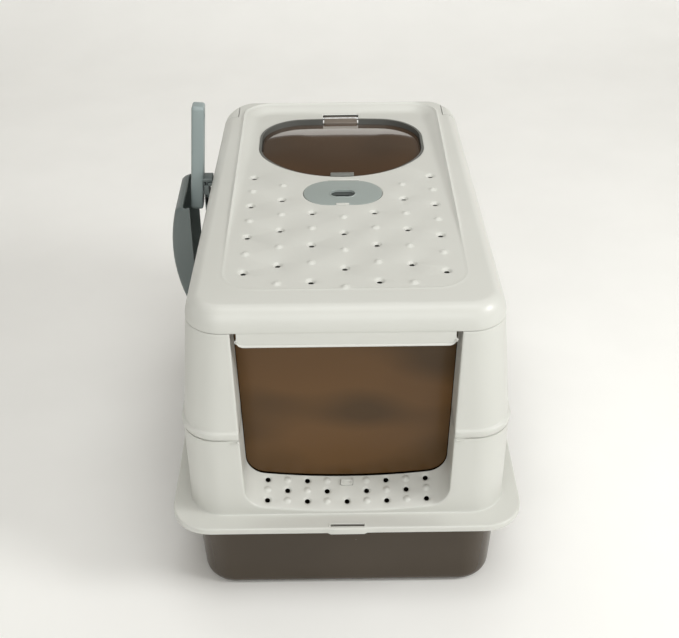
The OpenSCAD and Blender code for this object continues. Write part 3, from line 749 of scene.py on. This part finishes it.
def upper_frame():
    rows = []
    for z, grow in ((235.0, -1.8), (235.0, -0.9), (235.3, -0.2), (236.2, 0.4), (238.0, 0.8), (241.0, 0.9),
                    (243.0, 0.8), (244.2, 0.3), (244.9, -0.6), (245.4, -1.4), (246.2, -1.85), (248.0, -2.0)):
        rows.append(upper_row(z, 186.9 + grow, 186.9 + grow, 280.4 + grow * 0.85, 289.3 + grow * 0.85, 43.5))
    for z in [258.0] + spread(264, 366, 8) + [370.0, 371.8]:
        rows.append(upper_row(z, *upper_size(z), 42))
    hwf, hwb, fore, rear = upper_size(372.6)
    rows.append(upper_row(372.5, hwf - 0.4, hwb - 0.4, fore - 0.4, rear - 0.4, 41.6))
    rows.append(upper_row(372.7, hwf - 1.2, hwb - 1.2, fore - 1.2, rear - 1.2, 40.8))
    bm = bmesh.new()
    add_rings(bm, [both_sides(r) for r in rows], closed=False)
    bmesh.ops.recalc_face_normals(bm, faces=bm.faces[:])
    point_outwards(bm)
    hanger_notches(bm)
    rear_edge(bm)
    thicken(bm, WALL)
    finish_piece(bm, "upper_frame_skin", "shell_plastic", "hood", ["upper_frame"])


def point_outwards(bm):
    """Turns the skin's normals away from the middle of the box."""
    total = sum(f.normal.dot(f.calc_center_median() - Vector((0, 0, 250))) * f.calc_area() for f in bm.faces)
    if total < 0:
        bmesh.ops.reverse_faces(bm, faces=bm.faces[:])


def hanger_notches(bm):
    """Notch in the top of each side wall for the scoop's hanger."""
    near, far = NOTCH_YS
    top = 366
    for y in NOTCH_YS:
        cut_plane(bm, (0, y, 0), (0, 1, 0))
    cut_plane(bm, (0, 0, top), (0, 0, 1))
    drop_faces(bm, lambda c: near < c.y < far and c.z > top)


def rear_edge(bm):
    """Low stretch of the back wall where the cover's edge swings past."""
    low, half = 367.7, 122
    cut_plane(bm, (0, 0, low), (0, 0, 1))
    for s in (-1, 1):
        cut_plane(bm, (s * half, 0, 0), (1, 0, 0))
    drop_faces(bm, lambda c: c.z > low and c.y > 270 and abs(c.x) < half)


def bow(x):
    """Rise of the sill's front edge away from the middle."""
    return BOW_R - math.sqrt(BOW_R * BOW_R - x * x)


def mouth_point(mx, mz, t):
    """Point of the entrance's tunnel: outline coordinates mx, mz and depth t along the slope."""
    s, c = math.sin(TILT), math.cos(TILT)
    return mx, MOUTH_Y - mz * s + t * c, MOUTH_Z + mz * c + t * s


def front_depth(mx, mz):
    """Depth at which the tunnel meets the front wall."""
    t = 0.0
    for _ in range(4):
        z = mouth_point(mx, mz, t)[2]
        t = (-MOUTH_Y - lower_size(z)[1] + mz * math.sin(TILT)) / math.cos(TILT)
    return t


def back_depth(mz):
    """Depth at which the tunnel ends inside the hood."""
    return (TUNNEL_BACK - MOUTH_Y + mz * math.sin(TILT)) / math.cos(TILT)


SILL_XS = [0, 7, 13, 19.5, 23, 31, 40, 50, 60, 70, 79, 88, BOW_END]
CORNER_STEPS = 14
SIDE_ZS = [161.6, 172, 184, 196, 208, 220, 229, 233.1, 233.35, 233.6, 233.9, 240]
SILL_LAST = len(SILL_XS) + 3            # last point of the outline that the sloping sill reaches


def mouth_path():
    """Right half of the entrance's outline: (mx, mz, outward normal x, z)."""
    path = []
    for x in SILL_XS:
        path.append((x, bow(x), x / BOW_R, -math.cos(math.asin(x / BOW_R))))
    for i in range(1, CORNER_STEPS + 1):
        a = math.radians(lerp(-83.14, 0, i / CORNER_STEPS))
        path.append((93.5 + 25 * math.cos(a), 30.6 + 25 * math.sin(a), math.cos(a), math.sin(a)))
    for z in SIDE_ZS[1:]:
        y = -lower_size(z)[1]
        mz = (z - MOUTH_Z) * math.cos(TILT) - (y - MOUTH_Y) * math.sin(TILT)
        path.append((mouth_hw(y, z), mz, 1.0, 0.0))
    return path


def face_edge(k):
    """Where the front face ends, opposite point k of the entrance's outline."""
    sill = len(SILL_XS) - 1
    if k <= sill:
        return SILL_XS[k], BASE_Z
    f = (k - sill) / CORNER_STEPS
    if f <= 1:
        corner = lower_size(BASE_Z)[0] - 42
        if f <= 0.5:
            return lerp(BOW_END, corner, f * 2), BASE_Z
        z = lerp(BASE_Z, SIDE_ZS[0], f * 2 - 1)
        return lower_size(z)[0] - 42, z
    z = SIDE_ZS[k - sill - CORNER_STEPS]
    return lower_size(z)[0] - 42, z


FILLET = 1.7


def front_face_rows():
    """Rows from the tunnel's back edge, over the rounded edge, to the outer edge of the front face."""
    path = mouth_path()
    rows = []
    for f in (0.0, 0.25, 0.5, 0.75):
        row = []
        for mx, mz, _, _ in path:
            depth = lerp(back_depth(mz), front_depth(mx, mz) + FILLET, f)
            row.append(mouth_point(mx, mz, depth))
        rows.append(row)
    for i in range(6):
        a = math.pi / 2 * i / 5
        g, depth = FILLET * (1 - math.cos(a)), FILLET * (1 - math.sin(a))
        row = []
        for mx, mz, nx, nz in path:
            x, m = mx + nx * g, mz + nz * g
            row.append(mouth_point(x, m, front_depth(x, m) + depth))
        rows.append(row)
    start = rows[-1]
    for f in (0.34, 0.67, 1.0):
        row = []
        for k, p in enumerate(start):
            ex, ez = face_edge(k)
            z = lerp(p[2], ez, f)
            row.append((lerp(p[0], ex, f), -lower_size(z)[1], z))
        rows.append(row)
    return rows


def wall_heights():
    half = CORNER_STEPS // 2
    rise = [lerp(BASE_Z, SIDE_ZS[0], i / half) for i in range(half + 1)]
    return rise + SIDE_ZS[1:]


def base_front_xs():
    corner = lower_size(BASE_Z)[0] - 42
    half = CORNER_STEPS // 2
    return SILL_XS + [lerp(BOW_END, corner, i / half) for i in range(1, half)]


def rim_row(q, z, bulge=0.0):
    """Half of the rim at a distance q inside its edge."""
    out = []
    f = 1 - q / 22.3
    hw, fore, rear = lower_size(BASE_Z)
    inner = [(x, -fore - 1.6) for x in base_front_xs()]
    inner += half_walls(hw + 1.6, hw + 1.6, fore + 1.6, rear + 1.6, 43.6)
    wide = [x if x <= 23 else 23 + (x - 23) * 136 / (hw - 65) for x in base_front_xs()]
    outer = [(x, -305) for x in wide] + half_walls(205, 205, 305, 305, 46)
    for (ax, ay), (bx, by) in zip(inner, outer):
        x, y = lerp(ax, bx, f), lerp(ay, by, f)
        push = bulge if abs(bx) < 22 and by < -304 else 0
        out.append((x, y - push, z - (1.0 if push and z < 120 else 0)))
    return mirrored(out)


def base_row(grow, z):
    hw, fore, rear = lower_size(BASE_Z)
    half = [(x, -fore - grow, z) for x in base_front_xs()]
    half += [(x, y, z) for x, y in half_walls(hw + grow, hw + grow, fore + grow, rear + grow, 42 + grow)]
    return mirrored(half)


def rim_rows():
    """From the foot of the walls out over the rim and down its lip."""
    rows = [base_row(0, BASE_Z), base_row(0.25, 124.6), base_row(0.8, 124.15), rim_row(22.3, 124.0)]
    rows += [rim_row(q, 124) for q in (17.5, 13.6, 12.2, 6.9, 2.8)] + [rim_row(1.9, 124, 0.6)]
    for i in range(1, 6):
        a = math.pi / 2 * i / 5
        rows.append(rim_row(1.9 * (1 - math.sin(a)), 122.1 + 1.9 * math.cos(a), 1.2))
    return rows + [rim_row(0, 119.0, 1.2), rim_row(0.1, 116.3, 1.2), rim_row(0.8, 115.5, 1.2)]


def rim_slot(bm):
    """Opens the slot in the front of the rim."""
    drop_faces(bm, lambda c: abs(c.x) < 19.5 and -302.2 < c.y < -298.0 and abs(c.z - 124) < 0.3)


def slot_bead():
    """Raised lip round the back and the sides of the rim's slot."""
    bm = bmesh.new()
    block(bm, (-21.5, -298.9, 123.6), (21.5, -296.9, 125.1), 0.7)
    block(bm, (-21.5, -302.6, 123.6), (-19.6, -297.0, 125.0), 0.6)
    block(bm, (19.6, -302.6, 123.6), (21.5, -297.0, 125.0), 0.6)
    finish_piece(bm, "slot_bead", "shell_plastic", "hood", (), 40)


def drains():
    """(x, depth along the sill, hole) of every drain hole or bump."""
    for row, t in enumerate((13.0, 26.5, 40.0)):
        for col in range(-4, 5):
            if col == 0 and row > 0:
                continue
            yield col * 23.3, t, (row + col) % 2 == 0


def outline_up(x):
    """Height of the entrance's outline above its lowest point, at distance x from the middle."""
    return bow(x) if x <= BOW_END else 30.6 - math.sqrt(max(625 - (x - 93.5) ** 2, 0))


def sill(bm):
    """Sloping sill with its drain holes, bumps and the slot for the door lock."""
    path = mouth_path()[:SILL_LAST + 1]
    front = [(x, front_depth(x, up) + FILLET) for x, up, _, _ in path]
    back = [(x, back_depth(up)) for x, up, _, _ in path]
    sides = [(path[-1][0], lerp(back[-1][1], front[-1][1], f)) for f in (0.75, 0.5, 0.25)]
    edge = mirrored(front + sides + list(reversed(back)))
    slot = rect_loop(7.7, 37.5, 4.4, 1.6, 3, 4)
    loops, bumps, holes = [edge, slot], [], []
    for x, t, hole in drains():
        for r in ((3.0, 3.4, 3.9, 4.4, 4.9, 5.3) if hole else (1.4, 2.6, 3.6, 4.4, 5.0, 5.4)):
            loops.append(arc(x, t, r, r, 0, 340, 17))
        (holes if hole else bumps).append((x, t))
    loops.append(rect_loop(8.3, 37.5, 5.0, 2.2, 3, 4))

    def inside(x, t):
        if any(math.hypot(x - a, t - b) < 3.0 for a, b in holes):
            return False
        return in_loop(edge, x, t) and not in_loop(slot, x, t)

    def lift(x, t):
        up = outline_up(abs(x))
        for a, b in bumps:
            up += 2.1 * (1 - smooth(0.6, 5.4, math.hypot(x - a, t - b)))
        for a, b in holes:
            up -= 2.2 * (1 - smooth(2.4, 5.3, math.hypot(x - a, t - b)))
        return mouth_point(x, up, t)

    fill_flat(bm, loops, bumps, inside, lift)


def lower_frame():
    bm = bmesh.new()
    face = front_face_rows()
    for s in (1, -1):
        rows = [[(s * x, y, z) for x, y, z in row] for row in face]
        inner = [add_row(bm, row[SILL_LAST:]) for row in rows[:5]]
        for low, high in zip(inner, inner[1:]):
            add_strip(bm, low, high, closed=False)
        outer = [add_row(bm, row) for row in rows[4:]]
        for low, high in zip(outer, outer[1:]):
            add_strip(bm, low, high, closed=False)
    for s in (1, -1):
        grid = []
        for z in wall_heights():
            hw, fore, rear = lower_size(z)
            grid.append([(s * x, y, z) for x, y in half_walls(hw, hw, fore, rear, 42)])
        add_rings(bm, grid, closed=False)
    add_rings(bm, rim_rows())
    sill(bm)
    bmesh.ops.remove_doubles(bm, verts=bm.verts[:], dist=0.02)
    bmesh.ops.recalc_face_normals(bm, faces=bm.faces[:])
    point_outwards(bm)
    rim_slot(bm)
    thicken(bm, WALL)
    finish_piece(bm, "lower_frame_skin", "shell_plastic", "hood", ["lower_frame"])


# ---------------------------------------------------------------- pan

def rect_ring(hx, hy, r, z, cx=0.0, cy=0.0, nx=5, ny=12, arcs=12):
    """Rounded rectangle with a fixed number of points, at one height."""
    half = [(x, -hy) for x in spread(0, hx - r, nx)]
    half += arc(hx - r, r - hy, r, r, -90, 0, arcs)[1:]
    half += [(hx, y) for y in spread(r - hy, hy - r, ny)[1:]]
    half += arc(hx - r, hy - r, r, r, 0, 90, arcs)[1:]
    half += [(x, hy) for x in spread(hx - r, 0, nx)[1:]]
    return [(x + cx, y + cy, z) for x, y in mirrored(half)]


def pan_wall(z, t=0.0):
    f = (z - 10) / 111
    return rect_ring(lerp(176, 181.5, f) - t, lerp(273, 278, f) - t, lerp(40, 42, f) - t, z)


def litter_pan():
    rings = []
    for i in range(7):
        a = math.pi / 2 * i / 6
        grow = 12 * math.sin(a)
        rings.append(rect_ring(161.5 + grow, 258.5 + grow, 26 + grow, 2.5 + 12 * (1 - math.cos(a))))
    rings += [pan_wall(z, 2.5) for z in (30, 60, 90, 112, 118)]
    rings.append(rect_ring(180.3, 276.8, 40.8, 120.6))
    rings.append(rect_ring(182.0, 278.5, 42.5, 121.0))
    rings += [rect_ring(200.9, 300.9, 42.0, 121.0), rect_ring(201.5, 301.5, 42.5, 120.5)]
    rings += [rect_ring(201.5, 301.5, 42.5, 119.2), rect_ring(200.9, 300.9, 42.0, 118.7)]
    rings += [rect_ring(183.5, 280.0, 44.0, 118.7), rect_ring(182.0, 278.4, 42.5, 117.8)]
    rings += [pan_wall(z) for z in (115, 95, 70, 45, 22, 14)]
    for i in range(1, 8):
        a = math.pi / 2 * i / 7
        drop = 13 * (1 - math.cos(a))
        rings.append(rect_ring(176 - drop, 273 - drop, 40 - drop, 13 - 13 * math.sin(a)))
    bm = bmesh.new()
    add_rings(bm, rings, caps=True)
    finish_piece(bm, "pan_skin", "pan_plastic", "pan", ["litter_pan"])


# ---------------------------------------------------------------- window

def dome_z(y, d):
    """Height of the window's outer face, at distance d inside its edge."""
    return floor_z(y) - 5.2 + 6.8 * (1 - (1 - min(d / 78, 1.0)) ** 2.3)


def window_dome():
    edge = window_loop(-3.3, False)
    away = nearest(edge)
    bm = bmesh.new()
    steps = (0.12, 0.35, 0.7, 1.1, 3, 6, 10, 16, 24, 34, 44, 55)
    loops = [edge] + [window_loop(-3.3 - g, False) for g in steps]
    grid = [(x, y) for x in range(-60, 61, 10) for y in range(100, 182, 10)]

    def lift(x, y):
        d = away(x, y)
        return x, y, dome_z(y, d) - edge_drop(d, 1.0)

    fill_flat(bm, loops, grid, lambda x, y: in_loop(edge, x, y), lift)
    add_rings(bm, [[lift(x, y) for x, y in edge], [(x, y, lift(x, y)[2] - 1.2) for x, y in edge]])
    bmesh.ops.remove_doubles(bm, verts=bm.verts[:], dist=0.01)
    turn_towards(bm, (0, 0, 1))
    thicken(bm, 2.3)
    finish_piece(bm, "window_skin", "smoked_clear", "window", ["window_dome"], 40, "dome_tone")


def window_leaf():
    """Leaf of the window's hinge."""
    bm = bmesh.new()
    block(bm, (-23.2, 229.5, 386.6), (23.2, 251.5, 392.2), 0.9)
    finish_piece(bm, "window_leaf", "smoked_clear", "window", ["window_hinge_block"], 40, "leaf_tone")


def window_catch():
    bm = bmesh.new()
    block(bm, (-15, 51.3, 396.6), (15, 58.0, 398.9), 0.7)
    block(bm, (-15, 48.7, 393.0), (-9.2, 50.7, 398.6), 0.5)
    block(bm, (9.2, 48.7, 393.0), (15, 50.7, 398.6), 0.5)
    block(bm, (-15, 48.7, 397.2), (15, 51.6, 398.9), 0.5)
    finish_piece(bm, "window_catch_piece", "grey_plastic", "window", ["window_catch"], 40, "catch_tone")


# ---------------------------------------------------------------- latch

LATCH_Y, BUTTON_Y = -0.5, -3.3


def latch_plate():
    outer = ((47.6, 399.9), (48.3, 399.75), (48.8, 399.3), (48.95, 398.7), (48.95, 397.45))
    inner = ((15.0, 397.45), (15.0, 400.2), (15.15, 400.55), (15.5, 400.7), (16.0, 400.7), (16.4, 400.55),
             (16.6, 400.2), (16.75, 399.95), (17.4, 399.9))
    rings = []
    for hx, z in inner:
        g = hx - 15.0
        rings.append(rect_ring(hx, 8.8 + g, 8.7 + g, z, 0, BUTTON_Y, 5, 2, 18))
    for hx, z in outer:
        hy = 32.95 - (48.95 - hx)
        rings.append(rect_ring(hx, hy, hy - 0.02, z, 0, LATCH_Y, 5, 2, 18))
    bm = bmesh.new()
    hollow_plate(bm, rings)
    finish_piece(bm, "latch_cover", "grey_plastic", "lid", ["latch_plate"], 30)


def latch_slider():
    bm = bmesh.new()
    block(bm, (-16, BUTTON_Y - 9.4, 396.45), (16, BUTTON_Y + 15.2, 397.3), 0.25)
    block(bm, (-8, BUTTON_Y - 1.2, 397.2), (8, BUTTON_Y + 1.2, 398.9), 0.5)
    # The slider is painted near-black: painted shade of its recess.
    finish_piece(bm, "latch_slider", "grey_plastic", "latch", ["latch_button"], 40, "latch_recess_painted_shade")


def lid_tabs():
    """Small pale tab on the latch's front edge and bar behind the latch."""
    bm = bmesh.new()
    block(bm, (-8.5, -33.6, 399.0), (7.5, -29.6, 401.0), 0.7)
    finish_piece(bm, "latch_tab", "shell_plastic", "lid", (), 40)
    bm = bmesh.new()
    block(bm, (-18, 33.6, 397.5), (21, 36.6, 400.4), 0.7)
    finish_piece(bm, "latch_bar", "shell_plastic", "lid", (), 40)


# ---------------------------------------------------------------- swing door

DOOR_Y, DOOR_TOP = -235.4, 362.0


def door_outline(q):
    """Outline of the door in its own plane, moved in by q."""
    gap, base = 0.5 + q, 145.15
    half = [(x, base + bow(x) + gap) for x in SILL_XS[:-1]]
    half += arc(93.5, base + 30.6, 25 - gap, 25 - gap, -82, 0, 12)
    for z in (190, 210, 230, 250, 270, 290, 310, 330, 348):
        half.append((118.5 + (z - base - 30.6) * 0.027 - gap, z))
    half += [(half[-1][0], 349.4), (118.4 - gap, 350.4), (118.4 - gap, DOOR_TOP)]
    half += [(x, DOOR_TOP) for x in (80, 40, 0)]
    return mirrored(half)


def front_door():
    bm = bmesh.new()
    soft_plate(bm, door_outline, -1.0, 1.0, 0.45, lambda u, v, h: (u, DOOR_Y + h, v))
    finish_piece(bm, "door_panel", "smoked_clear", "door", ["front_door"], 40)
    bm = bmesh.new()
    rod(bm, -118.4, 118.4, DOOR_Y, DOOR_TOP, 5.0)
    finish_piece(bm, "door_barrel", "smoked_clear", "door", (), 40)


def lock_outline(q):
    return [(x, y) for x, y, _ in rect_ring(7.3 - q, 4 - q, 1.6 - q * 0.5, 0, 0, 37.5, 2, 1, 5)]


def door_lock():
    """Tab that slides in the sill."""
    bm = bmesh.new()
    soft_plate(bm, lock_outline, -6.9, 1.4, 0.5, lambda u, v, h: mouth_point(u, h, v))
    block(bm, (-7.2, -2.0, 37.9), (7.2, 2.95, 41.4), 0.6, mouth_point)
    block(bm, (-7.2, -2.0, 33.7), (-5.0, 2.95, 41.4), 0.5, mouth_point)
    block(bm, (5.0, -2.0, 33.7), (7.2, 2.95, 41.4), 0.5, mouth_point)
    finish_piece(bm, "lock_slider", "shell_plastic", "lock", ["door_lock"], 40)


# ---------------------------------------------------------------- scoop

LEAN = math.radians(4.56)
SCOOP_Y = 100.0


def at_handle(u, v, h):
    """Point of the handle: across, along the hood, and up the leaning handle."""
    s, c = math.sin(LEAN), math.cos(LEAN)
    return -190 + u * c + h * s, SCOOP_Y + v, 385 - u * s + h * c


def handle():
    """Flat grip with a hang hole near its top."""
    profile = [(4.0, -8.2), (3.2, -8.2), (1.6, -7.7), (0.5, -6.6), (0.0, -5.0), (0.0, 5.0), (0.5, 6.6),
               (1.6, 7.7), (3.2, 8.2), (4.0, 8.2)]
    rings = [[at_handle(u, v, h) for v, h, _ in rect_ring(11 - q, 73.4 - q, 5.2 - q, 0, 0, 18.6, 3, 8, 6)]
             for q, u in profile]
    for r, u in ((4.6, 8.2), (4.1, 7.9), (4.0, 7.4), (4.0, -7.4), (4.1, -7.9), (4.6, -8.2)):
        rings.append([at_handle(u, v, h) for v, h, _ in rect_ring(r, r, r - 0.01, 0, 0, 76, 3, 8, 6)])
    bm = bmesh.new()
    hollow_plate(bm, rings)
    # The handle gets the lighter copy of the scoop's plastic: painted light.
    finish_piece(bm, "scoop_handle", "scoop_plastic", "scoop", (), 40, "painted_light_scoop_tone")


def scoop_arm():
    bm = bmesh.new()
    block(bm, (-196, 90, 370.5), (-171, 110, 375.4), 1.2)
    finish_piece(bm, "scoop_arm", "scoop_plastic", "scoop", (), 40)
    bm = bmesh.new()
    block(bm, (-180.5, 92.8, 346.2), (-177.4, 107.2, 371.5), 0.8)
    finish_piece(bm, "scoop_peg", "scoop_plastic", "scoop", (), 40)


def blade_x(z):
    """Outer face of the blade at a height."""
    curve = 3 - math.sqrt(max(229 ** 2 - (z - 290) ** 2, 0))
    if z > 338:
        return max(curve, -207 - math.sqrt(max(256 - (z - 338) ** 2, 0)))
    return curve


SLOT_PITCH = 13
SLOT_LOW, SLOT_HIGH = 227.5, 272.5
BLADE_EDGE_X = -199


def blade_row(z):
    """One height of the blade, from one open edge round the outside to the other."""
    x = min(blade_x(z), BLADE_EDGE_X - 0.02)
    r = min(7.0, 0.8 * (BLADE_EDGE_X - x))
    w = 1.1 if z in (SLOT_LOW, SLOT_HIGH) else 2.9
    half = [(x, 0.0), (x, w)]
    for i in range(1, 4):
        half += [(x, SLOT_PITCH * i - w), (x, SLOT_PITCH * i + w)]
    turn = [math.pi / 2 * k / 5 for k in range(6)]
    half += [(x + r - r * math.cos(a), 52 - r + r * math.sin(a)) for a in turn]
    half += [(lerp(x + r, BLADE_EDGE_X, f), 52) for f in (0.33, 0.66, 1.0)]
    full = [(px, -py) for px, py in reversed(half[1:])] + half
    return [(px, SCOOP_Y + py, z) for px, py in full]


def in_blade_slot(c):
    across = abs(c.y - SCOOP_Y)
    near = min(abs(across - SLOT_PITCH * i) for i in range(4))
    return SLOT_LOW < c.z < SLOT_HIGH and c.x < -219 and near < 2.4


def blade():
    """Curved pan of the scoop, open towards the hood, with its sifting slots."""
    heights = [205, 215, SLOT_LOW, 229.4, 240, 255, 270.6, SLOT_HIGH, 282, 295]
    heights += [308, 320, 332, 340, 345, 349, 351.8, 353.4, 353.95]
    bm = bmesh.new()
    add_rings(bm, [blade_row(z) for z in heights], closed=False)
    drop_faces(bm, in_blade_slot)
    bmesh.ops.remove_doubles(bm, verts=bm.verts[:], dist=0.05)
    turn_towards(bm, (-1, 0, 0))
    thicken(bm, 2.4)
    # The blade keeps the scoop's plastic in its darker tone: painted shade.
    finish_piece(bm, "scoop_blade", "scoop_plastic", "scoop", ["scoop"], 40)


def hanger_end(mirror):
    """Slotted end wall of the hanger, or its mirror image at the other end."""
    def ring(hx, hz, r, y):
        return [(x, y, z) for x, z, _ in rect_ring(hx, hz, r, 0, -179.2, 345.2, 2, 5, 5)]

    y0, y1 = 88.0, 92.0
    rings = [ring(3.4 - q, 21.2 - q, 1.2 - q * 0.5, y0 + h) for q, h in ((0.0, 0.7), (0.2, 0.2), (0.7, 0.0))]
    rings += [ring(2.5, 8.4, 2.4, y0), ring(2.1, 8.0, 2.0, y0 + 0.4), ring(2.1, 8.0, 2.0, y1)]
    rings += [ring(3.4, 21.2, 1.2, y1)]
    bm = bmesh.new()
    hollow_plate(bm, rings)
    if mirror:
        for v in bm.verts:
            v.co.y = 2 * SCOOP_Y - v.co.y
        bmesh.ops.reverse_faces(bm, faces=bm.faces[:])
    return bm


def hanger():
    for i in range(2):
        finish_piece(hanger_end(i == 1), "hanger_end_" + str(i), "scoop_plastic", "hood", (), 40)
    bm = bmesh.new()
    block(bm, (-182.6, 91.9, 324), (-181.3, 108.1, 366.2), 0.4)
    block(bm, (-176.9, 91.9, 324), (-175.85, 108.1, 366.2), 0.3)
    block(bm, (-181.4, 91.9, 324), (-176.8, 108.1, 330), 0.4)
    block(bm, (-182.6, 88, 366.3), (-181.3, 112, 370), 0.4)
    block(bm, (-176.9, 88, 366.3), (-158, 112, 370), 0.5)
    block(bm, (-160.5, 88.1, 352), (-158.05, 111.9, 368), 0.5)
    finish_piece(bm, "hanger_body", "scoop_plastic", "hood", ["scoop_hanger"], 40)


upper_frame()
lower_frame()
litter_pan()
window_dome()
window_leaf()
window_catch()
slot_bead()
latch_plate()
latch_slider()
lid_tabs()
front_door()
door_lock()
handle()
scoop_arm()
blade()
hanger()

backdrop()
lights()
camera()
bpy.context.scene.view_settings.view_transform = "Standard"

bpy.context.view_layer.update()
